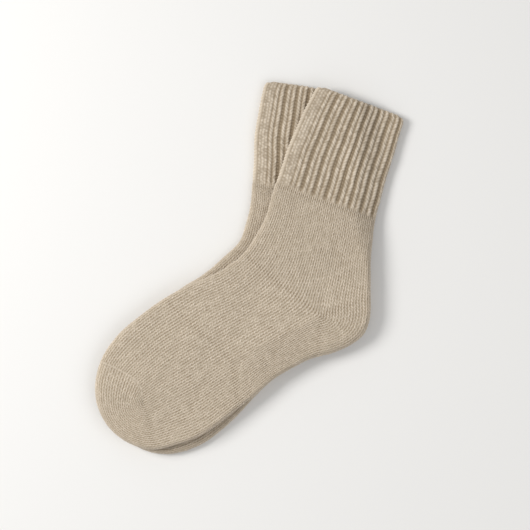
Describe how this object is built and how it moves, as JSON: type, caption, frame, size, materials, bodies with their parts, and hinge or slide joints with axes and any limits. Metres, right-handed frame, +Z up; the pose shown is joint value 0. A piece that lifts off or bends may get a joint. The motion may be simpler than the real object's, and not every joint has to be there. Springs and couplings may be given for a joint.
{
  "type": "pair of knitted ankle socks",
  "caption": "Pair of thick knitted wool ankle socks with ribbed cuffs, laid flat one on the other, open at the mouth.",
  "frame": {"origin": "on the surface that the pair lies on, under the middle of the pair's bounding box", "axes": "+Z up from the surface; +Y along the upper sock's leg, towards its mouth; +X towards the heels"},
  "size_m": [0.21, 0.3372, 0.0175],
  "materials": {
    "wool": "matt knitted wool yarn, oatmeal",
    "linking_yarn": "matt wool yarn, a shade darker where the toe is linked"
  },
  "bodies": {
    "lower_sock": {"lower_sock_cuff": "wool", "lower_sock_leg": "wool", "lower_sock_heel": "wool", "lower_sock_foot": "wool", "lower_sock_toe": "wool", "lower_sock_toe_seam": "linking_yarn"},
    "upper_sock": {"upper_sock_cuff": "wool", "upper_sock_leg": "wool", "upper_sock_heel": "wool", "upper_sock_foot": "wool", "upper_sock_toe": "wool", "upper_sock_toe_seam": "linking_yarn"}
  },
  "joints": [
    {"name": "upper_sock_lift", "type": "slide", "parent": "lower_sock", "child": "upper_sock", "axis": [0, 0, 1], "range_m": [0, 0.1]}
  ]
}
